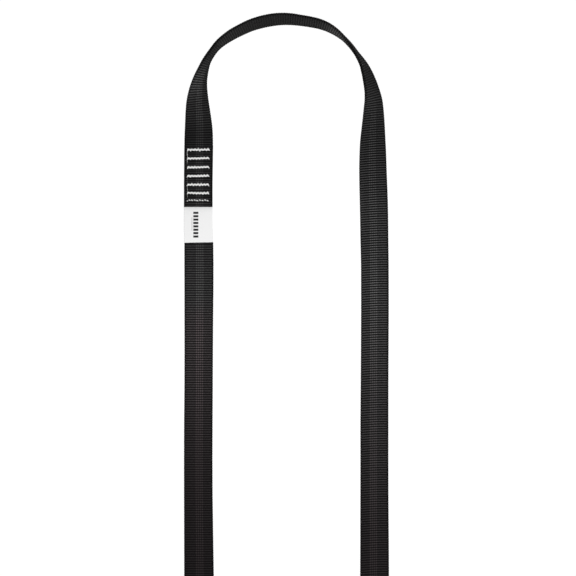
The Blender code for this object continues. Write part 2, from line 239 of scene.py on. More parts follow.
def eased_arch():
    """The arch with its faces laid over further, drawn in by its rounded edges, and fitted to the outline."""
    rows = arch.copy()
    rows[:, 2] -= LEAN_EASE * np.sin(2.0 * np.radians(rows[:, 2]))
    share = np.clip(rows[:, 1:2] / (INSET_FADE * LEG_SPACING), 0.0, 1.0)
    reach = np.linalg.norm(rows[:, :2], axis=1, keepdims=True)
    rows[:, :2] -= ARCH_INSET * share * rows[:, :2] / np.maximum(reach, LEG_SPACING / 4)
    steps = np.diff(rows[:, :2], axis=0, prepend=rows[:1, :2])
    along = np.cumsum(np.linalg.norm(steps, axis=1))
    out, wider = (np.interp(along / along[-1], ARCH_FIT[:, 0], ARCH_FIT[:, column]) for column in (1, 2))
    way = np.gradient(rows[:, :2], axis=0)
    way /= np.linalg.norm(way, axis=1, keepdims=True)
    rows[:, 0] -= way[:, 1] * out
    rows[:, 1] += way[:, 0] * out
    flat, upright = np.cos(np.radians(rows[:, 2])), np.sin(np.radians(rows[:, 2]))
    turn = np.degrees(wider / (WEBBING_WIDTH * np.maximum(upright, LEAST_SINE)))
    rows[:, 2] -= turn * flat / (np.abs(flat) + LEAN_TURN)
    return rows


def route_rows():
    """x, y, z and lean from the hidden end round the loop to the end on top."""
    bend = eased_arch()
    rows = [(-LEG_X, y, back_height(y), 0.0) for y in np.arange(FOOT_Y, -FOOT_Y, -LEG_STEP)]
    rows += [(x, -FOOT_Y - above, resting_height(lean), lean) for x, above, lean in bend]
    for x, above, lean in bend[::-1]:
        lift = FRONT_BOTTOM * (1.0 - smooth_step(above / LIFT_FADE)) if x < 0.0 else 0.0
        rows.append((x, FOOT_Y + above, resting_height(lean) + lift, lean))
    rows += [(-LEG_X, y, front_height(y), 0.0)
             for y in np.arange(FOOT_Y - LEG_STEP, FRONT_END_Y, -LEG_STEP / 2)]
    rows.append((-LEG_X, FRONT_END_Y - END_FUZZ, front_height(FRONT_END_Y), 0.0))
    return np.array(rows)


route = route_rows()
route_length = np.linalg.norm(np.diff(route[:, :3], axis=0), axis=1).sum()
print("points on the route:", len(route), "length in m:", round(route_length, 4))

# %% [markdown]
# ## Helpers for node trees
# Geometry and materials are both built as node trees. What a node puts out is wrapped as a value, and a
# plain formula of values becomes Math nodes, so the trees below read like sums. Any input of a node takes
# either a number or such a value.

# %% Node helpers


class Value:
    """What a node puts out."""

    def __init__(self, socket):
        self.socket, self.tree = socket, socket.id_data

    def __add__(self, other):
        return calc("ADD", self, other)

    def __sub__(self, other):
        return calc("SUBTRACT", self, other)

    def __rsub__(self, other):
        return calc("SUBTRACT", other, self)

    def __mul__(self, other):
        return calc("MULTIPLY", self, other)

    def __truediv__(self, other):
        return calc("DIVIDE", self, other)

    def __pow__(self, other):
        return calc("POWER", self, other)

    def __abs__(self):
        return calc("ABSOLUTE", self)

    def into(self, kind, inputs=None, **settings):
        """What a geometry node makes of this shape."""
        return value_of(self.tree, "GeometryNode" + kind, {0: self, **(inputs or {})}, **settings)


def fill(node, inputs):
    """Gives a node its inputs: each is a number or another node's value."""
    for key, value in inputs.items():
        if isinstance(value, Value):
            node.id_data.links.new(value.socket, node.inputs[key])
        else:
            node.inputs[key].default_value = value


def add_node(tree, kind, inputs=None, **settings):
    node = tree.nodes.new(kind)
    for name, value in settings.items():
        setattr(node, name, value)
    fill(node, inputs or {})
    return node


def value_of(tree, kind, inputs=None, output=0, **settings):
    """One output of a new node."""
    return Value(add_node(tree, kind, inputs, **settings).outputs[output])


def values_of(node):
    """All of a node's outputs by their names."""
    return {socket.name: Value(socket) for socket in node.outputs}


def tree_of(*values):
    return next(value.tree for value in values if isinstance(value, Value))


def calc(operation, *values):
    return value_of(tree_of(*values), "ShaderNodeMath", dict(enumerate(values)), operation=operation)


def bumps(value):
    """0 at every whole number and 1 half-way between, as round as a sine."""
    return abs(calc("SINE", value * math.pi))


def vector(x=0.0, y=0.0, z=0.0):
    return value_of(tree_of(x, y, z), "ShaderNodeCombineXYZ", {"X": x, "Y": y, "Z": z})


def scaled(direction, amount):
    return value_of(direction.tree, "ShaderNodeVectorMath", {0: direction, "Scale": amount},
                    operation="SCALE")


def numbers(*labels):
    """Sockets with these names that all take a number."""
    return dict.fromkeys(labels, "Float")


def new_tree(name, kind, inputs, outputs):
    """A node group with named sockets, the values that it is given, and the node for its results."""
    tree = bpy.data.node_groups.new(name, kind)
    for way, sockets in (("INPUT", inputs), ("OUTPUT", outputs)):
        for label, what in sockets.items():
            tree.interface.new_socket(label, in_out=way, socket_type="NodeSocket" + what)
    return tree, values_of(tree.nodes.new("NodeGroupInput")), tree.nodes.new("NodeGroupOutput")


print("node groups before the first tree:", len(bpy.data.node_groups))

# %% [markdown]
# Geometry Nodes make what repeats or follows a path. A tree is written here with named inputs, run once on
# a carrier object, and its result is kept as a plain mesh, so nothing is left to evaluate later.

# %% Geometry helpers


def shape_node(tree, kind, inputs=None, **settings):
    return value_of(tree, "GeometryNode" + kind, inputs, **settings)


def stored(tree, name, kind="FLOAT"):
    return shape_node(tree, "InputNamedAttribute", {"Name": name}, data_type=kind)


def on_curve(tree, output):
    return shape_node(tree, "SplineParameter", output=output)


def keep(shape, name, value, kind="FLOAT"):
    """The shape with this value stored on its points."""
    return shape.into("StoreNamedAttribute", {"Name": name, "Value": value}, data_type=kind)


def moved(shape, offset):
    return shape.into("SetPosition", {"Offset": offset})


def joined(shapes):
    node = shapes[0].tree.nodes.new("GeometryNodeJoinGeometry")
    for shape in shapes:
        fill(node, {0: shape})
    return Value(node.outputs[0])


def put_out(result, label, shape, material):
    """Ends a tree: instances become real, and the material is set."""
    fill(result, {label: shape.into("RealizeInstances").into("SetMaterial", {"Material": material})})


def plain_mesh(item):
    """The object's shape with its modifiers worked out."""
    return bpy.data.meshes.new_from_object(item.evaluated_get(bpy.context.evaluated_depsgraph_get()))


def grow(name, base, tree, values):
    """Runs a geometry tree on an object, and puts its result there as a plain mesh."""
    modifier = base.modifiers.new(tree.name, "NODES")
    modifier.node_group = tree
    for socket in tree.interface.items_tree:
        if socket.in_out == "INPUT" and socket.name in values:
            modifier[socket.identifier] = values[socket.name]
    mesh = plain_mesh(base)
    bpy.data.objects.remove(base, do_unlink=True)
    mesh.shade_smooth()
    return new_object(name, mesh)


def triangle_count(item):
    return sum(len(face.vertices) - 2 for face in item.data.polygons)


# %% [markdown]
# ## Shared finishes
# Two effects are shader node groups: a mottle that varies tone slowly and breaks up gloss, which the cloth,
# the thread and the label all use, and a ribbed weave read from the cloth's own coordinates. The groups put
# out only masks and heights, and each material decides what to do with them.

# %% Mottle group


def mottle_group():
    tree, given, result = new_tree("mottle", "ShaderNodeTree", numbers("Broad Scale", "Fine Scale"),
                                   numbers("Broad", "Fine"))
    place = values_of(add_node(tree, "ShaderNodeTexCoord"))["Object"]
    for label in ("Broad", "Fine"):
        noise = {"Vector": place, "Scale": given[label + " Scale"], "Detail": 3.0}
        fill(result, {label: value_of(tree, "ShaderNodeTexNoise", noise, "Fac")})
    return tree


MOTTLE = mottle_group()
print("nodes in the mottle:", len(MOTTLE.nodes))

# %% [markdown]
# The weave runs by two coordinates that the geometry carries with it: how many ribs along the tape, and
# how far across it. A plain weave lets every second warp yarn over each weft, so the yarns' bumps change
# sides from rib to rib.

# %% Ribbed weave group
STREAKS_PER_RIB = 0.9
STREAKS_PER_METRE = 9000.0
STREAK_HEIGHT = 0.35
GROOVE_FLOOR = 0.25
CREST_POWER = 3.0
GROOVE_POWER = 0.7
GAP_POWER = 1.6


def weave_group():
    tree, given, result = new_tree(
        "ribbed_weave", "ShaderNodeTree", numbers("Along", "Across", "Yarn Width"),
        numbers("Height", "Crest", "Groove", "Gap", "Streak"))
    along, across = given["Along"], given["Across"]
    swell = bumps(along)
    yarn = bumps(across / given["Yarn Width"] + calc("FLOOR", along) * 0.5)
    place = vector(along * STREAKS_PER_RIB, across * STREAKS_PER_METRE)
    streak = value_of(tree, "ShaderNodeTexNoise", {"Vector": place, "Scale": 1.0, "Detail": 2.0}, "Fac")
    fill(result, {
        "Height": yarn * (swell + GROOVE_FLOOR) + streak * STREAK_HEIGHT,
        "Crest": swell ** CREST_POWER,
        "Groove": (1.0 - swell) ** GROOVE_POWER,
        "Gap": (1.0 - yarn) ** GAP_POWER,
        "Streak": streak,
    })
    return tree


RIBBED_WEAVE = weave_group()
print("nodes in the weave:", len(RIBBED_WEAVE.nodes))

# %% [markdown]
# ## Webbing
# The real tape is a tube woven on a narrow loom and pressed flat: heavy weft ribs run across it, a few
# lighter warp yarns mark the middle, and the selvedges are dense and dark. It could be a flat strip with a
# bump map, but the ribs show in its outline where it turns over, so they are real geometry here. A
# geometry tree sweeps the flattened section along the route, parts the walls where the tape stands on
# its edge, and cuts the grooves between the ribs.

# %% Outline of the tape
RIB_PITCH = 0.00215
STEPS_PER_RIB = 4
FLAT_STEPS = 8
EDGE_STEPS = 5
RIB_DEPTH = 0.00022


def tape_outline():
    """Across and inward places of the flattened tube's outline, in order round it."""
    radius = HALF_THICKNESS
    half_flat = HALF_WIDTH + EDGE_FUZZ - radius
    points = []
    for side in (1, -1):
        for step in range(EDGE_STEPS + 1):
            angle = math.pi * (0.5 - step / EDGE_STEPS)
            points.append((side * (half_flat + radius * math.cos(angle)), side * radius * math.sin(angle)))
        for step in range(1, FLAT_STEPS):
            points.append((side * half_flat * (1.0 - 2.0 * step / FLAT_STEPS), -side * radius))
    return points


def line_mesh(name, points, closed=False, **attributes):
    """Points joined in order by edges, with numbers stored on them."""
    mesh = bpy.data.meshes.new(name)
    count = len(points)
    edges = [(index, (index + 1) % count) for index in range(count if closed else count - 1)]
    mesh.from_pydata([tuple(point) for point in points], edges, [])
    for label, values in attributes.items():
        kept = mesh.attributes.new(label, "FLOAT", "POINT")
        kept.data.foreach_set("value", np.array(values, np.float32))
    return new_object(name, mesh)


profile_points = tape_outline()
print("points round the tape:", len(profile_points))

# %% [markdown]
# The black cloth's colour has light and shade painted into it. A painted pool of light under the lamp and
# painted sheen in the arches make it greyer in places, painted light favours one edge, painted shade darkens
# the outer rim, and where sheen hides the ribs in the standing arch, their painted highlights and shade are
# weakened. Each of these is a number along the route, made of a few smooth humps and carried by the geometry
# to the cloth's material. A picture could hold the same, but it would need a map of its own, and these
# numbers can be read and changed. A hump's row gives its height, its middle and its width in metres, along
# the leg or across the arch. A fade's row gives its height, where it starts and how long it takes, on the way
# to the far end.

# %% Looks along the route
# painted light: humps of a painted pool of light under the lamp and of painted sheen in the arches
LEFT_BLACK = 0.67
LEFT_PAINTED_LIGHT = (
    (0.75, 0.083, 0.094), (1.42, 0.293, 0.015), (0.60, 0.269, 0.011), (-0.35, 0.320, 0.012),
    (-0.12, 0.247, 0.008),
)
RIGHT_BLACK = 0.66
RIGHT_PAINTED_LIGHT = ((0.45, 0.090, 0.085), (0.45, 0.279, 0.016), (0.14, 0.183, 0.020))
RIGHT_PAINTED_POOL = (0.78, 0.215, 0.070)
RIGHT_PAINTED_POOL_END = (1.0, 0.312, 0.030)
ARCH_PAINTED_SHEEN = ((1.45, 0.0445, 0.0090), (0.52, -0.0300, 0.0310))
LEFT_BALANCE = ((0.15, 0.070, 0.100), (0.80, 0.300, 0.018), (-0.35, 0.252, 0.014))
RIGHT_BALANCE = (0.30, 0.280, 0.022)
RIGHT_BALANCE_LOSS = (0.15, 0.220, 0.060)
# where sheen hides the ribs, so their painted highlights and painted shade are weakened
ARCH_SHEEN_HIDES_RIBS = (0.9, -0.022, 0.034)
SHOULDER_SHEEN_HIDES_RIBS = (0.7, 0.305, 0.035)
SHOULDER_X = 0.030
SHOULDER_RUN = 0.010
# painted shade on the outer rim of the right arch
PAINTED_RIM_SHADE = (1.0, 0.306, 0.014)
RELIEF = 1.05
LEFT_RELIEF = (0.5, 0.297, 0.020)
RIGHT_RELIEF = (0.6, 0.200, 0.055)
LEFT_RELIEF_LOSS = (0.75, 0.060, 0.160)
RIGHT_RELIEF_LOSS = (0.75, 0.020, 0.160)
ARCH_RELIEF_LOSS = 0.5
ARCH_END = (1.0, 0.325, 0.015)
WARMTH = (1.0, 0.110, 0.030)
LEFT_MARKS_LOSS = ((0.10, 0.150, 0.020), (0.13, 0.020, 0.060))
RIGHT_MARKS_LEAST = 0.50
RIGHT_MARKS = (0.95, 0.105, 0.105)
LABEL_SHADOW = (0.93, flap_low.y + 0.0001, 0.0008)
RIB_DROOP = 0.49
DROOP_EASE = (0.3, 0.200, 0.045)
DROOP_START = (1.0, 0.30, 0.06)
DROOP_RUN = 0.06
ARCH_START_Y = 0.33
ARCH_BLEND = 0.08


def hump(values, height, middle, width):
    return height * np.exp(-((values - middle) / width) ** 2)


def humps(values, table):
    return sum(hump(values, *row) for row in table)


def fade(values, height, start, length):
    """0 before the start and the height beyond start and length, smooth between. Counts down in y."""
    return height * smooth_step((start - values) / length)


def by_leg(left, right):
    """Values of the left leg and of the right one, smoothly joined over the arches."""
    return right + (left - right) * np.clip(0.5 - route[:, 0] / ARCH_BLEND, 0.0, 1.0)


def cloth_looks():
    """The numbers that the cloth's material reads, for each point of the route."""
    x, y = route[:, 0], route[:, 1]
    away = np.abs(y)
    left = x < 0.0
    # painted light: how grey the black is under a painted pool of light from the lamp and painted sheen in
    # the arches, with the label's painted contact shadow across the layer below it
    right_tone = RIGHT_BLACK + humps(y, RIGHT_PAINTED_LIGHT) + hump(y, *RIGHT_PAINTED_POOL) * fade(y, *RIGHT_PAINTED_POOL_END)
    tone = by_leg(LEFT_BLACK + humps(y, LEFT_PAINTED_LIGHT), right_tone)
    tone += humps(x, ARCH_PAINTED_SHEEN) * (y > ARCH_START_Y)
    tone *= 1.0 - hump(y, *LABEL_SHADOW) * left
    # how much greyer one edge is than the other: the light comes a little from the left
    balance = by_leg(humps(y, LEFT_BALANCE), hump(y, *RIGHT_BALANCE) - fade(y, *RIGHT_BALANCE_LOSS))
    # where the tape stands up in the arches, sheen hides its ribs: their painted highlights and shade are
    # weakened
    shoulder = hump(away, *SHOULDER_SHEEN_HIDES_RIBS) * np.clip((x - SHOULDER_X) / SHOULDER_RUN, 0.0, 1.0)
    ribs_lost_in_sheen = np.clip(hump(x, *ARCH_SHEEN_HIDES_RIBS) * (away > ARCH_START_Y) + shoulder, 0.0, 1.0)
    # how deep the grooves look: they fade towards the far end, which lies in a flatter light
    relief = RELIEF - np.where(left, fade(y, *LEFT_RELIEF_LOSS), fade(y, *RIGHT_RELIEF_LOSS))
    relief += np.where(left, hump(y, *LEFT_RELIEF), hump(y, *RIGHT_RELIEF))
    relief -= ARCH_RELIEF_LOSS * (1.0 - fade(y, *ARCH_END))
    # how plainly the marker yarns show, which are also lighter past 1
    left_marks = 1.0 - fade(y, *LEFT_MARKS_LOSS[0]) - fade(y, *LEFT_MARKS_LOSS[1])
    # ribs that the tape's edge hangs behind, on the leg that has turned over
    turned = np.clip(x / DROOP_RUN, 0.0, 1.0) * fade(away, *DROOP_START)
    return {
        "tone": tone, "balance": balance, "ribs_lost_in_sheen": ribs_lost_in_sheen, "relief": relief,
        # painted shade on the outer rim, where the tape comes down from standing on its edge
        "rim": hump(y, *PAINTED_RIM_SHADE) * (x > 0.0),
        "warmth": fade(y, *WARMTH),
        "marks": by_leg(left_marks, RIGHT_MARKS_LEAST + hump(y, *RIGHT_MARKS)),
        "droop": RIB_DROOP * turned * (1.0 - hump(y, *DROOP_EASE)),
    }


looks = cloth_looks()
for label, values in looks.items():
    print(label, "runs from", round(float(values.min()), 3), "to", round(float(values.max()), 3))

# %% Profile and path of the tape
PUFF = (0.00105, 90.0, 11.0)
TURN_PUFF = (0.2, 0.057, 0.010)
PUFF_START_Y = 0.30
profile = line_mesh("tape_profile", [(x, -y, 0.0) for x, y in profile_points], closed=True,
                    across=[x for x, _ in profile_points], inward=[y for _, y in profile_points])
puffs = hump(route[:, 3], *PUFF)
puffs *= 1.0 + hump(route[:, 0], *TURN_PUFF) * (np.abs(route[:, 1]) > PUFF_START_Y)
path = line_mesh("tape_path", route[:, :3], lean=np.radians(route[:, 3]), puff=puffs, **looks)
ribs = round(route_length / RIB_PITCH)
print("ribs along the tape:", ribs)

# %% [markdown]
# In the tree the path becomes a curve whose normal starts upright and is tilted by the lean. Swept along
# it, the section stays flat on the ground in the legs and stands up in the arches. Each point then moves
# twice: away from the other wall where the tube opens, and inwards where a groove lies between two ribs.

# %% Geometry tree of the tape
DROOP_BOW = 0.4


def tape_tree():
    tree, given, result = new_tree(
        "woven_tape", "GeometryNodeTree",
        {"Path": "Geometry", "Profile": "Object", "Ribs": "Int", "Steps per Rib": "Int",
         **numbers("Rib Depth", "Half Width", "Half Thickness"), "Cloth": "Material"},
        {"Tape": "Geometry"})
    curve = given["Path"].into("MeshToCurve")
    curve = curve.into("ResampleCurve", {"Count": given["Ribs"] * given["Steps per Rib"] + 1.0})
    curve = curve.into("SetCurveNormal", mode="Z_UP")
    curve = curve.into("SetCurveTilt", {"Tilt": stored(tree, "lean") * -1.0})
    curve = keep(curve, "along", on_curve(tree, "Factor") * given["Ribs"])
    ways = {0: shape_node(tree, "InputNormal"), 1: shape_node(tree, "InputTangent")}
    way_in = value_of(tree, "ShaderNodeVectorMath", ways, operation="CROSS_PRODUCT")
    curve = keep(curve, "way_in", way_in, "FLOAT_VECTOR")
    section = shape_node(tree, "ObjectInfo", {"Object": given["Profile"]}, output="Geometry")
    section = section.into("MeshToCurve")
    tape = curve.into("CurveToMesh", {"Profile Curve": section, "Fill Caps": True})
    share = stored(tree, "across") / given["Half Width"]
    bent = share * (share * DROOP_BOW + (1.0 - DROOP_BOW)) * stored(tree, "droop")
    tape = keep(tape, "along", stored(tree, "along") + bent)
    side = stored(tree, "inward") / given["Half Thickness"]
    parted = side * (1.0 - share * share) * stored(tree, "puff")
    tape = moved(tape, scaled(stored(tree, "way_in", "FLOAT_VECTOR"), parted))
    groove = (bumps(stored(tree, "along")) - 1.0) * given["Rib Depth"]
    tape = moved(tape, scaled(shape_node(tree, "InputNormal"), groove))
    put_out(result, "Tape", tape, given["Cloth"])
    return tree


WOVEN_TAPE = tape_tree()
print("nodes in the tape's tree:", len(WOVEN_TAPE.nodes))

# %% [markdown]
# The cloth's colour comes from four things: a painted highlight along each rib's crest, the marker yarns,
# the darker selvedges, and painted shade in the grooves and between the yarns. One selvedge is darkened less,
# a painted highlight where light catches its rolled edge. The numbers along the route then add painted light
# and shade, making it greyer or blacker. The outer face shows its ribs more than the inner face does, so the
# face's side is one more input.

# %% Material helpers


def attribute(tree, name):
    return value_of(tree, "ShaderNodeAttribute", None, "Fac", attribute_name=name)


def group_values(tree, group, inputs):
    return values_of(add_node(tree, "ShaderNodeGroup", inputs, node_tree=group))


def new_material(name):
    material = bpy.data.materials.new(name)
    material.use_nodes = True
    tree = material.node_tree
    return material, tree, tree.nodes["Principled BSDF"]


def mix_colour(share, first, second, **settings):
    return value_of(tree_of(share, first, second), "ShaderNodeMix", {0: share, 6: first, 7: second}, 2,
                    data_type="RGBA", clamp_factor=True, **settings)


def spread(value, low, high, first=0.0, last=1.0, **settings):
    """Runs from low to high while the value runs from first to last."""
    limits = {"Value": value, "From Min": first, "From Max": last, "To Min": low, "To Max": high}
    return value_of(value.tree, "ShaderNodeMapRange", limits, **settings)


def ramp(value, low, high):
    """0 below low, 1 above high, smooth between."""
    return spread(value, 0.0, 1.0, low, high, interpolation_type="SMOOTHSTEP")


def bumped(height, strength, distance):
    bump = {"Height": height, "Strength": strength, "Distance": distance}
    return value_of(height.tree, "ShaderNodeBump", bump, "Normal")


print("shader groups so far:", sorted(group.name for group in (MOTTLE, RIBBED_WEAVE)))

# %% Black webbing material
YARN_WIDTH = 0.00062
SELVEDGE = 0.0020
STRIPE_HALF = 0.0034
STRIPE_SOFT = 0.0003
STRIPE_SHIFT = 0.00014
STRIPE_TURN = -0.00092
STRIPE_YARN = 0.00178
DOT_POWER = 4.0
MARKER_FLOOR = 0.35
MARKER_RELIEF = 0.2
MARKER_GONE = 0.5
STREAK_RANGE = (0.25, 0.65)
EDGE_GROOVES = (0.85, 2.05)
CREST_COAT = 0.65
RIB_LOSS_IN_SHEEN = 0.75
OUTER_CREST = 1.75
OUTER_GROOVE = 1.9
YARN_GAP = 0.8
OUTER_MARKER = 2.5
DARK_SELVEDGE = 0.7
PAINTED_LIT_SELVEDGE = 0.3
PAINTED_RIM_SHADE_ACROSS = (-0.0070, -0.0105)
CLOTH_BODY = (0.0085, 0.0080, 0.0082, 1.0)
# the crest's colour is a painted highlight; the groove's is painted shade, also used for the selvedges' own
# black
CREST_PAINTED_HIGHLIGHT = (0.030, 0.029, 0.0295, 1.0)
SHADE_AND_SELVEDGE_BLACK = (0.0010, 0.0009, 0.0010, 1.0)
WARM_TINT = (1.17, 0.90, 0.955, 1.0)
MARKER_YARN = (0.086, 0.084, 0.084, 1.0)
LIGHT_YARN = (0.165, 0.162, 0.162, 1.0)


def by_face(side, outer):
    """1 on the inner face, and this on the outer one."""
    return spread(side, outer, 1.0, -1.0, 1.0)


def rib_masks(tree, side, relief, across):
    """Crest highlight and groove shade, both painted, marker yarns, selvedge and weave height, each from 0 to
    1.
    """
    weave = group_values(tree, RIBBED_WEAVE,
                         {"Along": attribute(tree, "along"), "Across": across, "Yarn Width": YARN_WIDTH})
    ribs_lost_in_sheen = attribute(tree, "ribs_lost_in_sheen")
    kept = spread(ribs_lost_in_sheen, 1.0, 1.0 - RIB_LOSS_IN_SHEEN)
    # where the painted highlight lies along each rib's crest
    crest = weave["Crest"] * ramp(weave["Streak"], *STREAK_RANGE) * kept * by_face(side, OUTER_CREST)
    edge = ramp(abs(across), HALF_WIDTH - SELVEDGE, HALF_WIDTH)
    # painted shade in the grooves and between the yarns
    groove = weave["Groove"] * relief * spread(edge, *EDGE_GROOVES) * kept * by_face(side, OUTER_GROOVE)
    groove = calc("MAXIMUM", groove, weave["Gap"] * kept * YARN_GAP)
    from_middle = across - (side * STRIPE_TURN + STRIPE_SHIFT)
    stripe = 1.0 - ramp(abs(from_middle), STRIPE_HALF - STRIPE_SOFT, STRIPE_HALF + STRIPE_SOFT)
    dots = bumps(from_middle / STRIPE_YARN) ** DOT_POWER
    marker = (stripe * dots * spread(ribs_lost_in_sheen, 1.0, 0.0, 0.0, MARKER_GONE) * (weave["Crest"] + MARKER_FLOOR)
              * by_face(side, OUTER_MARKER) * (relief * MARKER_RELIEF + (1.0 - MARKER_RELIEF))
              * attribute(tree, "marks"))
    return crest, groove, marker, edge, weave["Height"]


def webbing_material():
    material, tree, shader = new_material("black_webbing")
    across, marks = attribute(tree, "across"), attribute(tree, "marks")
    side = calc("SIGN", attribute(tree, "inward"))
    crest, groove, marker, edge, height = rib_masks(tree, side, attribute(tree, "relief"), across)
    # painted highlight along each rib's crest
    colour = mix_colour(crest, CLOTH_BODY, CREST_PAINTED_HIGHLIGHT)
    colour = mix_colour(marker, colour, mix_colour(marks - 1.0, MARKER_YARN, LIGHT_YARN))
    # painted shade in the grooves and between the yarns
    colour = mix_colour(groove, colour, SHADE_AND_SELVEDGE_BLACK)
    # dark selvedges are the cloth's own; the edge on the positive side is darkened less, a painted highlight
    # where light catches it
    dark_edge = edge * spread(calc("SIGN", across), DARK_SELVEDGE, PAINTED_LIT_SELVEDGE, -1.0, 1.0)
    colour = mix_colour(dark_edge, colour, SHADE_AND_SELVEDGE_BLACK)
    # painted light: one edge lit more than the other, times the painted light, sheen and shadow along the
    # route
    painted_side_light = attribute(tree, "balance") * across * (2.0 / WEBBING_WIDTH)
    tone = attribute(tree, "tone") * (painted_side_light + 1.0)
    grey = value_of(tree, "ShaderNodeCombineColor", {"Red": tone, "Green": tone, "Blue": tone})
    colour = mix_colour(1.0, colour, grey, blend_type="MULTIPLY")
    colour = mix_colour(attribute(tree, "warmth"), colour, WARM_TINT, blend_type="MULTIPLY")
    # painted shade on the outer rim
    colour = mix_colour(attribute(tree, "rim") * ramp(across, *PAINTED_RIM_SHADE_ACROSS), colour, SHADE_AND_SELVEDGE_BLACK)
    mottle = group_values(tree, MOTTLE, {"Broad Scale": 22.0, "Fine Scale": 900.0})
    fill(shader, {
        "Base Color": colour, "Normal": bumped(height, strength=0.9, distance=0.0002),
        "Roughness": spread(mottle["Fine"], 0.62, 0.82),
        "Coat Weight": crest * tone * (1.0 - dark_edge) * CREST_COAT, "Coat Roughness": 0.54,
        "Specular IOR Level": 0.08,
    })
    return material


black_webbing = webbing_material()
print("nodes in the webbing's material:", len(black_webbing.node_tree.nodes))

# %% Sweep the tape
tape = grow("webbing_tape", path, WOVEN_TAPE, {
    "Profile": profile, "Ribs": ribs, "Steps per Rib": STEPS_PER_RIB, "Rib Depth": RIB_DEPTH,
    "Half Width": HALF_WIDTH, "Half Thickness": HALF_THICKNESS, "Cloth": black_webbing})
bpy.data.objects.remove(profile, do_unlink=True)
print("tape triangles:", triangle_count(tape))

# %% [markdown]
# Cloth laid down by hand is never quite straight. Each leg sways and changes its width by up to half a
# millimetre, and stitches draw its edges in beside the joint. The bars sink a little into the soft cloth
# too, which bulges between them. The tape is a plain mesh now, so its points are simply moved.

# %% How the legs lie
BAR_DENT = 0.00035
BAR_DENT_REACH = 0.0021
DENT_SIDE = 0.0025
DRAWN_RIGHT = 0.0005
DRAWN_LEFT = -0.0003
DRAWN_FADE = 0.035
DRAWN_START = 0.001
JOINT_MARGIN = 0.004
# y, then millimetres: sway and widening of the left leg, then sway and widening of the right leg
LEG_SWAY = np.array((
    (-0.200, 0.00, 0.00, 0.00, 0.00),
    (-0.142, 0.25, 0.46, 0.00, 0.10),
    (-0.101, -0.10, 0.18, -0.17, -0.10),
    (-0.069, -0.36, 0.00, -0.25, -0.25),
    (-0.037, -0.44, -0.05, -0.26, -0.31),
    (-0.005, -0.34, -0.04, -0.26, -0.28),
    (0.027, -0.10, -0.10, -0.13, -0.40),
    (0.059, 0.00, -0.07, 0.05, -0.44),
    (0.091, 0.10, 0.06, 0.20, -0.42),
    (0.112, 0.20, 0.18, 0.20, -0.42),
    (0.135, 0.20, 0.25, 0.20, -0.42),
    (0.155, 0.10, 0.12, 0.00, -0.30),
    (0.176, 0.00, 0.10, 0.00, -0.16),
    (0.200, 0.00, 0.05, 0.00, 0.00),
)) * (1.0, 0.001, 0.001, 0.001, 0.001)
print("largest sway in mm:", round(1000 * float(np.abs(LEG_SWAY[:, 1:]).max()), 2))

# %% Press the bars into the cloth


def sewn_in(y):
    """How strongly the stitches draw the webbing's edges in, from 0 to 1."""
    return np.clip((FOOT_Y - y) / DRAWN_FADE, 0.0, 1.0) * np.clip((y - flap_low.y) / DRAWN_START, 0.0, 1.0)


def across_leg(x, side):
    """-1 at a leg's left edge, 1 at its right edge."""
    return np.clip((x - side * LEG_X) / HALF_WIDTH, -1.0, 1.0)


def press_bars():
    mesh = tape.data
    places = np.zeros(len(mesh.vertices) * 3, np.float32)
    mesh.vertices.foreach_get("co", places)
    places = places.reshape(-1, 3)
    x, y, z = places.T
    on_leg = (x < 0.0) & (y > FRONT_END_Y) & (y < FOOT_Y + JOINT_MARGIN)
    top = on_leg & (z > FRONT_BOTTOM + HALF_THICKNESS)
    under = on_leg & (z < SEAM_LIFT + HALF_THICKNESS)
    inside = np.clip((HALF_WIDTH - np.abs(x + LEG_X)) / DENT_SIDE, 0.0, 1.0)
    for row in bartack_rows:
        share = np.clip(1.0 - ((y - row) / BAR_DENT_REACH) ** 2, 0.0, 1.0) * inside
        z -= np.where(top, BAR_DENT * share, 0.0)
        z += np.where(under, BAR_DENT * share, 0.0)
    near = (x < 0.0) & (np.abs(y) < FOOT_Y)
    share = across_leg(x, -1)
    x -= np.where(near, sewn_in(y) * np.where(share > 0.0, DRAWN_RIGHT, DRAWN_LEFT) * share, 0.0)
    for side in (-1, 1):
        leg = (x * side > 0.0) & (np.abs(y) < FOOT_Y)
        sway, widening = (np.interp(y, LEG_SWAY[:, 0], LEG_SWAY[:, column + side]) for column in (2, 3))
        x += np.where(leg, sway + widening * across_leg(x, side), 0.0)
    mesh.vertices.foreach_set("co", places.ravel())
    mesh.update()
    return int(top.sum() + under.sum())


print("points near the bars:", press_bars())

# %% [markdown]
# ## Sewing thread
# Every thread here is two plies twisted round each other, as bonded polyester thread is. One geometry group
# sweeps a pair of round plies along any curve and turns them as they go. A single round tube would be
# simpler, but the twist is what makes thread look like thread from close up.

# %% Two-ply thread group
PLY_SIDES = 6
PLY_RADIUS = 0.35
PLY_SHIFT = 0.15
TWIST = 3.2


def thread_tree():
    tree, given, result = new_tree("two_ply_thread", "GeometryNodeTree",
                                   {"Curve": "Geometry", **numbers("Thread")}, {"Thread": "Geometry"})
    thickness = given["Thread"]
    turns = on_curve(tree, "Length") / (thickness * TWIST)
    curve = given["Curve"].into("SetCurveTilt", {"Tilt": turns * (2 * math.pi)})
    size = {"Resolution": PLY_SIDES, "Radius": thickness * PLY_RADIUS}
    plies = [shape_node(tree, "CurvePrimitiveCircle", size).into(
        "Transform", {"Translation": vector(thickness * (side * PLY_SHIFT))}) for side in (1, -1)]
    fill(result, {"Thread": curve.into("CurveToMesh", {"Profile Curve": joined(plies), "Fill Caps": True})})
    return tree


TWO_PLY_THREAD = thread_tree()
print("nodes in the thread:", len(TWO_PLY_THREAD.nodes))

# %% [markdown]
# Sewing thread is bonded and slightly glossy. It is white with a little grey between its plies, so its
# material takes the shared mottle for its tone and a fine bump for its fibres.

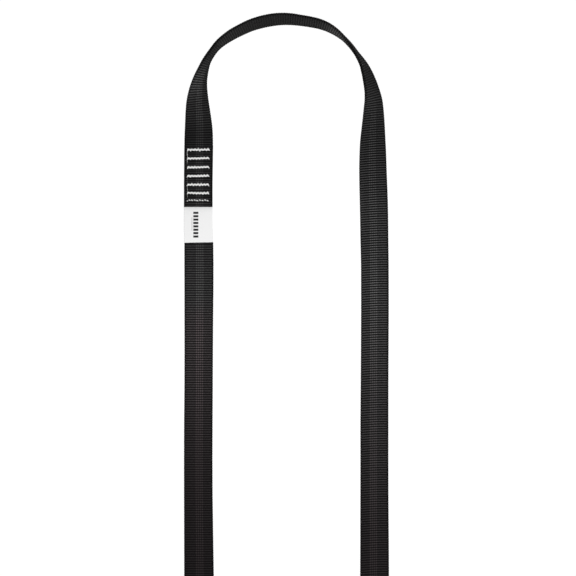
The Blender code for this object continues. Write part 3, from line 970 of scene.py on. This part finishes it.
# %% Thread materials
SHEEN_RANGE = 0.08
YARN_WHITES = ((0.985, 0.982, 0.975, 1.0), (0.955, 0.952, 0.945, 1.0))
YARN_GREYS = ((0.62, 0.62, 0.61, 1.0), (0.46, 0.46, 0.45, 1.0))


def thread_material(name, colour, shade, roughness):
    material, tree, shader = new_material(name)
    mottle = group_values(tree, MOTTLE, {"Broad Scale": 260.0, "Fine Scale": 2600.0})
    fill(shader, {
        "Base Color": mix_colour(ramp(mottle["Fine"], 0.35, 0.65), shade, colour),
        "Normal": bumped(mottle["Fine"], strength=0.15, distance=0.00008),
        "Roughness": spread(mottle["Broad"], roughness - SHEEN_RANGE, roughness + SHEEN_RANGE),
        "Specular IOR Level": 0.4,
    })
    return material


white_thread = thread_material("white_thread", *YARN_WHITES, roughness=0.5)
grey_thread = thread_material("grey_thread", *YARN_GREYS, roughness=0.55)
print("thread materials:", white_thread.name, "and", grey_thread.name)

# %% [markdown]
# ## Bartacks
# A bartack is a machine's dense zigzag over a few straight stitches, and six of them carry the whole load
# of the joint. Each bar is grown by one geometry tree: it bends a line into a zigzag whose tips dive into
# the needle holes, shifts every tip a little as a real machine does, lays three straight threads under it,
# and sweeps the thread group along all of them.

# %% Zigzag bar tree
STEPS_PER_STROKE = 7
STRAIGHT_STEPS = 24
STRAIGHT_SPREAD = 0.30
STRAIGHT_SINK = -0.25
SIDEWAYS_SHARE = 0.7
DIVE_POWER = 6.0


def thread_on(curve, thickness):
    return curve.into("Group", {"Thread": thickness}, node_tree=TWO_PLY_THREAD)


def random_vector(**inputs):
    """A random vector from -1 to 1 on each axis."""
    limits = {"Min": (-1.0, -1.0, -1.0), "Max": (1.0, 1.0, 1.0)}
    return value_of(tree_of(*inputs.values()), "FunctionNodeRandomValue", {**limits, **inputs},
                    data_type="FLOAT_VECTOR")


def bar_tree():
    tree, given, result = new_tree(
        "zigzag_bar", "GeometryNodeTree",
        {"Base": "Geometry", "Strokes": "Int", "Seed": "Int", "Yarn": "Material",
         **numbers("Left", "Length", "Row", "Level", "Reach", "Thread", "Dive", "Slope", "Sag",
                   "Flatness", "Jitter")},
        {"Bar": "Geometry"})
    line = shape_node(tree, "CurvePrimitiveLine", {"End": vector(given["Length"])})
    zigzag = line.into("ResampleCurve", {"Count": given["Strokes"] * STEPS_PER_STROKE + 1.0})
    factor = on_curve(tree, "Factor")
    strokes = factor * given["Strokes"]
    swing = calc("PINGPONG", strokes, 1.0) * 2.0 - 1.0
    swung = abs(swing)
    shift = random_vector(ID=calc("ROUND", strokes), Seed=given["Seed"])
    shift = values_of(add_node(tree, "ShaderNodeSeparateXYZ", {"Vector": shift}))
    wander = swung ** 2.0 * given["Jitter"]
    bow = calc("SINE", factor * math.pi) * given["Sag"]
    middle = (factor - 0.5) * given["Slope"] - bow
    height = swing * given["Reach"] + shift["Y"] * wander + middle
    dive = swung ** DIVE_POWER * given["Dive"] * -1.0
    runs = [moved(zigzag, vector(shift["X"] * wander * SIDEWAYS_SHARE, height, dive))]
    for side in (1, 0, -1):
        straight = line.into("ResampleCurve", {"Count": STRAIGHT_STEPS})
        aside = given["Reach"] * (side * STRAIGHT_SPREAD) + middle
        runs.append(moved(straight, vector(0.0, aside, given["Dive"] * STRAIGHT_SINK)))
    thread = thread_on(joined(runs), given["Thread"])
    thread = thread.into("Transform", {"Scale": vector(1.0, 1.0, given["Flatness"])})
    thread = moved(thread, vector(given["Left"], given["Row"], given["Level"]))
    put_out(result, "Bar", thread, given["Yarn"])
    return tree


ZIGZAG_BAR = bar_tree()
print("nodes in the bar's tree:", len(ZIGZAG_BAR.nodes))

# %% [markdown]
# The six bars differ as they do on the real sling: some show every tooth, one is nearly a solid stripe.
# Each row gives the inputs in which they differ, the row's place as a shift from the plain solid's. The
# needle's bars lie in the dents of the upper layer, and the bobbin's bars mirror them under the lower
# layer. Pulled tight, the thread lies flat, so each bar is squeezed to half its height.

# %% Grow the bars
BAR_LEFT = -0.08835
BAR_STROKES = 14
BAR_DIVE = 0.00070
BAR_RISE = 0.00040
BAR_FLATNESS = 0.5
TOP_LEVEL = FRONT_BOTTOM + WEBBING_THICKNESS - BAR_DENT + BAR_RISE
UNDER_LEVEL = SEAM_LIFT + BAR_DENT - BAR_RISE
BAR_INPUTS = ("Length", "Reach", "Thread", "Slope", "Sag", "Seed", "Row", "Jitter")
BAR_ROWS = (
    (0.0192, 0.00098, 0.00094, -0.0003, 0.0002, 3, 0.00035, 0.00042),
    (0.0191, 0.00112, 0.00094, 0.0002, 0.0001, 8, 0.00005, 0.00034),
    (0.0191, 0.00112, 0.00096, 0.0003, 0.0002, 5, 0.00010, 0.00040),
    (0.0191, 0.00096, 0.00104, 0.0005, 0.0001, 12, 0.00005, 0.00040),
    (0.0192, 0.00080, 0.00118, 0.0004, 0.0001, 6, 0.00025, 0.00024),
    (0.0197, 0.00116, 0.00092, 0.0001, 0.0001, 9, 0.00020, 0.00060),
)


def grow_bar(number, kind, level, dive):
    own = dict(zip(BAR_INPUTS, BAR_ROWS[number - 1]))
    own["Row"] += bartack_rows[number - 1]
    bar = grow(f"bartack_{number}_{kind}_stitches", line_mesh("bar_base", ()), ZIGZAG_BAR, {
        **own, "Left": BAR_LEFT, "Level": level, "Strokes": BAR_STROKES, "Dive": dive,
        "Flatness": BAR_FLATNESS, "Yarn": white_thread})
    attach(bar, "sling")
    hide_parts(f"bartack_{number}_{kind}_thread")
    return bar


for number in range(1, BARTACKS + 1):
    grow_bar(number, "needle", TOP_LEVEL, BAR_DIVE)
    grow_bar(number, "bobbin", UNDER_LEVEL, -BAR_DIVE)

# %% [markdown]
# ## Seam
# A fine seam tacks the label and the cloth before the bars are sewn: it runs down beside the bars and
# then across under the last one. Its stitches are instances of one short thread on the points of a path,
# each turned to the path's way, slanted, and scaled by how tight it lies. The side run is thin and half
# sunk in the cloth, so only the row across shows clearly.

# %% Running stitch tree
STITCH_STEPS = 9
STITCH_POWER = 3.0


def stitch_tree():
    tree, given, result = new_tree(
        "running_stitches", "GeometryNodeTree",
        {"Path": "Geometry", "Seed": "Int", "Yarn": "Material",
         **numbers("Stitch Length", "Thread", "Dive", "Jitter")},
        {"Stitches": "Geometry"})
    half = given["Stitch Length"] * 0.5
    line = shape_node(tree, "CurvePrimitiveLine", {"Start": vector(half * -1.0), "End": vector(half)})
    line = line.into("ResampleCurve", {"Count": STITCH_STEPS})
    share = on_curve(tree, "Factor") * 2.0 - 1.0
    dive = abs(share) ** STITCH_POWER * given["Dive"] * -1.0
    stitch = thread_on(moved(line, vector(z=dive)), given["Thread"])
    shift = scaled(random_vector(Seed=given["Seed"]), given["Jitter"])
    flat = value_of(tree, "ShaderNodeVectorMath", {0: shift, 1: (1.0, 1.0, 0.0)}, operation="MULTIPLY")
    weight = stored(tree, "weight")
    laid = moved(given["Path"], flat).into("InstanceOnPoints", {
        "Instance": stitch, "Rotation": vector(z=stored(tree, "heading")),
        "Scale": vector(stored(tree, "stretch"), weight, weight)})
    put_out(result, "Stitches", laid, given["Yarn"])
    return tree


RUNNING_STITCHES = stitch_tree()
print("nodes in the stitches' tree:", len(RUNNING_STITCHES.nodes))

# %% [markdown]
# Where the stitches lie is counted off as a machine would: evenly down the side, once at the corner, then
# evenly across. Between the bars the side run sinks into the cloth, more in some gaps than in others.

# %% Stitch places
SEAM_X = -0.0883
SIDE_PITCH = 0.0024
SIDE_STRETCH = 1.6
SIDE_START = 0.0004
TIGHT_END_Y = bartack_rows[4] - 0.0026
TIGHT_WEIGHT = 0.22
SIDE_WEIGHTS = (0.22, 0.02, 0.0, 0.03, 0.13, 0.11)
CORNER_WEIGHT = 0.5
CORNER_STRETCH = 0.7
ROW_LEFT_X = -0.08625
ROW_Y = FRONT_END_Y + 0.00558
ROW_PITCH = 0.00227
ROW_SLANT = -0.32
ROW_HEIGHTS = (0.00018, 0.00009, 0.00027, -0.00027, 0.00044, -0.00009, 0.00044, -0.00018)


def stitch_rows():
    """x, y, turn, thickness and stretch for each stitch's middle."""
    rows = []
    last, gap_width = bartack_rows[5], bartack_rows[5] - bartack_rows[4]
    for y in np.arange(last - SIDE_START, ROW_Y + SIDE_PITCH, -SIDE_PITCH):
        gap = min(int((last - y) / gap_width), len(SIDE_WEIGHTS) - 1)
        weight = TIGHT_WEIGHT if y > TIGHT_END_Y else SIDE_WEIGHTS[gap]
        if weight > 0.0:
            rows.append((SEAM_X, y, math.pi / 2, weight, SIDE_STRETCH))
    rows.append((SEAM_X, ROW_Y - SIDE_START, math.pi / 2, CORNER_WEIGHT, CORNER_STRETCH))
    for number, height in enumerate(ROW_HEIGHTS):
        rows.append((ROW_LEFT_X + number * ROW_PITCH, ROW_Y + height, ROW_SLANT, 1.0, 1.0))
    return np.array(rows)


seam_rows = stitch_rows()
print("stitches in the seam:", len(seam_rows))

# %% Grow the seam
SEAM_THREAD = 0.00110
STITCH_LENGTH = 0.00115
STITCH_DIVE = 0.00028
STITCH_JITTER = 0.00016
STITCH_SEED = 4
STITCH_RISE = HALF_THICKNESS + STITCH_DIVE


def seam_stitches(kind, level, dive, yarn):
    x, y, heading, weight, stretch = seam_rows.T
    base = line_mesh("stitch_places", list(zip(x, y, level(y))), heading=heading, weight=weight,
                     stretch=stretch)
    stitches = grow(f"seam_{kind}_stitches", base, RUNNING_STITCHES, {
        "Stitch Length": STITCH_LENGTH, "Thread": SEAM_THREAD, "Dive": dive, "Jitter": STITCH_JITTER,
        "Seed": STITCH_SEED, "Yarn": yarn})
    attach(stitches, "sling")
    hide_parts(f"seam_{kind}_thread")
    return stitches


seam_top = seam_stitches("needle", lambda y: front_height(y) + STITCH_RISE, STITCH_DIVE, white_thread)
seam_under = seam_stitches("bobbin", lambda y: back_height(y) - STITCH_RISE, -STITCH_DIVE, grey_thread)
print("seam triangles:", triangle_count(seam_top), triangle_count(seam_under))

# %% [markdown]
# ## Label
# The label is one strip of white woven tape, folded at its far end, with both ends sewn into the joint
# between the two layers of webbing. It is modelled as it was cut: one sheet that runs out along the lower
# ply, round the fold and back along the upper ply, given its thickness by Solidify. A new label isn't quite
# flat: it waves a little, its fold is slightly askew, and one corner lifts.

# %% Label strip
LABEL_PLY = 0.00025
LABEL_SIDE = 0.00050
LABEL_COLUMNS = 24
LABEL_ROWS = 64
LABEL_TUCK = 0.0006
LABEL_WAVE, WAVE_TURN, WAVE_START = 0.00012, 5.0, 2.0
LABEL_RIPPLE, RIPPLE_OUT, RIPPLE_ACROSS = 0.00010, 9.0, 3.0
LABEL_SKEW = 0.0005
CORNER_LIFT = 0.0006
FOLD_SHORT = 0.00025
FOLD_STEPS = 8
SHARP_DEGREES = 40
label_left, label_right = flap_low.x - LABEL_SIDE, flap_high.x + LABEL_SIDE
label_width = label_right - label_left
label_low_z = tab_low.z + LABEL_PLY / 2
label_high_z = tab_high.z - LABEL_PLY / 2


def label_path():
    """y and z along the strip from one sewn end to the other."""
    radius = (label_high_z - label_low_z) / 2
    fold_y = flap_low.y + radius + LABEL_PLY / 2 + FOLD_SHORT
    middle_z = (label_high_z + label_low_z) / 2
    run = np.linspace(tab_high.y, fold_y, LABEL_ROWS)
    points = [(y, label_low_z) for y in run]
    for step in range(1, FOLD_STEPS):
        angle = math.pi * step / FOLD_STEPS
        points.append((fold_y - radius * math.sin(angle), middle_z - radius * math.cos(angle)))
    points += [(y, label_high_z) for y in run[::-1]]
    return np.array(points)


def label_point(y, z, share):
    """A point of the strip: share runs from 0 to 1 across it."""
    out = max(0.0, (FRONT_END_Y - y) / (FRONT_END_Y - flap_low.y))
    x = label_left + label_width * share - LABEL_TUCK * (2.0 * share - 1.0) * (out == 0.0)
    wave = LABEL_WAVE * math.sin(WAVE_TURN * share + WAVE_START)
    wave += LABEL_RIPPLE * math.sin(RIPPLE_OUT * out + RIPPLE_ACROSS * share)
    skew = LABEL_SKEW * (share - 0.5) * out ** 2
    return x, y + skew, z + wave * out ** 2 + CORNER_LIFT * out ** 4 * share


def make_label():
    path = label_path()
    lengths = np.concatenate(((0.0,), np.cumsum(np.linalg.norm(np.diff(path, axis=0), axis=1))))
    shape = bmesh.new()
    strip_map = shape.loops.layers.uv.new("strip")
    shares = [step / LABEL_COLUMNS for step in range(LABEL_COLUMNS + 1)]
    rows = [[shape.verts.new(label_point(y, z, share)) for share in shares] for y, z in path]
    for index, (row, following) in enumerate(zip(rows, rows[1:])):
        for step in range(LABEL_COLUMNS):
            face = shape.faces.new((row[step], row[step + 1], following[step + 1], following[step]))
            for loop, (down, over) in zip(face.loops, ((0, 0), (0, 1), (1, 1), (1, 0))):
                loop[strip_map].uv = (shares[step + over] * label_width, lengths[index + down])
    shape.normal_update()
    mesh = bpy.data.meshes.new("label")
    shape.to_mesh(mesh)
    shape.free()
    label = new_object("folded_label", mesh)
    wall = label.modifiers.new("ply", "SOLIDIFY")
    wall.thickness = LABEL_PLY
    wall.offset = 0.0
    applied = plain_mesh(label)
    label.modifiers.clear()
    label.data = applied
    applied.shade_smooth()
    applied.set_sharp_from_angle(angle=math.radians(SHARP_DEGREES))
    return label, lengths[-1]


label, strip_length = make_label()
print("label strip in mm:", round(1000 * label_width, 1), "x", round(1000 * strip_length, 1))

# %% [markdown]
# The label's face is satin-woven white polyester with a dense edge. Its print is left generic: a column of
# plain bars with a hairline beside it, drawn by masks on the strip's own map so that it stays on the cloth.

# %% Label material
BAR_COLUMN = (0.0082, 0.0127)
BAR_SHARE = (0.18, 0.82)
HAIRLINE = (0.0068, 0.0072)
HAIRLINE_RUN = (0.0095, 0.0215)
HAIRLINE_INK = 0.8
PRINT_START = 0.0040
PRINT_PITCH = 0.0030
PRINT_BARS = 8
PRINT_BLACK = (0.012, 0.012, 0.013, 1.0)
PRINT_GREY = (0.25, 0.25, 0.25, 1.0)
LABEL_WHITES = ((0.93, 0.93, 0.93, 1.0), (0.95, 0.95, 0.95, 1.0))
LABEL_WARP = 0.00028
LABEL_WEFT = 0.00034


def between(value, low, high, soft=0.00008):
    """1 from low to high and 0 outside, with a soft edge."""
    return ramp(value, low - soft, low + soft) * (1.0 - ramp(value, high - soft, high + soft))


def label_material():
    material, tree, shader = new_material("white_label")
    strip = value_of(tree, "ShaderNodeUVMap", uv_map="strip")
    split = values_of(add_node(tree, "ShaderNodeSeparateXYZ", {"Vector": strip}))
    across, along = split["X"], split["Y"]
    mottle = group_values(tree, MOTTLE, {"Broad Scale": 60.0, "Fine Scale": 3000.0})
    out = float(strip_length - LABEL_TAB_DEPTH) - along
    turns = (out - PRINT_START) / PRINT_PITCH
    bars_mask = (between(calc("FRACT", turns), *BAR_SHARE, soft=0.05) * between(across, *BAR_COLUMN)
                 * between(turns, 0.0, PRINT_BARS, soft=0.01))
    line_mask = between(across, *HAIRLINE) * between(out, *HAIRLINE_RUN) * HAIRLINE_INK
    tone = mix_colour(line_mask, mix_colour(mottle["Broad"], *LABEL_WHITES), PRINT_GREY)
    weave = bumps(across / LABEL_WARP) * bumps(along / LABEL_WEFT)
    fill(shader, {
        "Base Color": mix_colour(bars_mask, tone, PRINT_BLACK),
        "Normal": bumped(weave + mottle["Fine"], strength=0.25, distance=0.00004),
        "Roughness": spread(mottle["Broad"], 0.55, 0.7), "Specular IOR Level": 0.3,
    })
    return material


label.data.materials.append(label_material())
print("bars on the label:", PRINT_BARS)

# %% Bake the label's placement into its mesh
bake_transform(label)
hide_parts("label_tab", "label_flap")

# %% [markdown]
# ## Ground and light
# The picture has a plain white ground with hardly any shadow, as a sling lit from all round in a light tent
# has. A white floor lies under the sling and keeps its shadows. For the camera it also glows a little, so
# that it comes out white without being lit so brightly that the black cloth turns grey. A small round lamp
# high above the near end gives the cloth its form, and a plain sky fills in the sides.

# %% Ground
FLOOR_SIZE = 8.0
FLOOR_GLOW = 1.11
GLOW_SHARE = 0.88
FLOOR_WHITE = (0.9, 0.9, 0.9, 1.0)
WHITE = (1.0, 1.0, 1.0, 1.0)


def seen_by_camera(tree):
    return value_of(tree, "ShaderNodeLightPath", None, "Is Camera Ray")


def make_floor():
    bpy.ops.mesh.primitive_plane_add(size=FLOOR_SIZE, location=(0.0, 0.0, 0.0))
    floor = bpy.context.object
    floor.name = "floor"
    material, tree, shader = new_material("white_floor")
    fill(shader, {"Base Color": FLOOR_WHITE, "Roughness": 0.9, "Specular IOR Level": 0.0})
    glow = value_of(tree, "ShaderNodeEmission", {"Color": WHITE, "Strength": FLOOR_GLOW})
    both = value_of(tree, "ShaderNodeMixShader", {
        0: seen_by_camera(tree) * GLOW_SHARE, 1: Value(shader.outputs[0]), 2: glow})
    fill(tree.nodes["Material Output"], {"Surface": both})
    floor.data.materials.append(material)
    return floor


floor = make_floor()
floor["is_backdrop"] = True
print("ground in m:", [round(side, 1) for side in floor.dimensions])

# %% Lamp and sky
LAMP_SIZE = 0.25
LAMP_WATTS = 0.66
LAMP_PLACE = (0.0, 0.085, 0.32)
SKY_LEVEL = 0.45


def light_up():
    world = bpy.data.worlds.new("studio")
    world.use_nodes = True
    bpy.context.scene.world = world
    level = calc("MAXIMUM", seen_by_camera(world.node_tree), SKY_LEVEL)
    fill(world.node_tree.nodes["Background"], {"Color": WHITE, "Strength": level})
    lamp = new_object("softbox", bpy.data.lights.new("softbox", "AREA"))
    lamp.data.shape = "DISK"
    lamp.data.size = LAMP_SIZE
    lamp.data.energy = LAMP_WATTS
    lamp.location = LAMP_PLACE
    lamp.visible_camera = False
    return lamp


lamp = light_up()
print("lamp at", [round(place, 3) for place in lamp.location], "with watts:", LAMP_WATTS)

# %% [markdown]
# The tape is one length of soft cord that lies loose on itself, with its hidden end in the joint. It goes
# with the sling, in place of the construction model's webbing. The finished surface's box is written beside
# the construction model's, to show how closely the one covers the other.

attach(tape, "sling")
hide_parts("webbing")
print("tape length in m:", round(float(route_length), 4))

# %% Compare the boxes and finish
visual_low, visual_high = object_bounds()
grown = [round(1000 * (big - small), 2) for big, small in zip(visual_high - visual_low, cad_high - cad_low)]
print("the surface is larger than the construction model by mm:", grown)
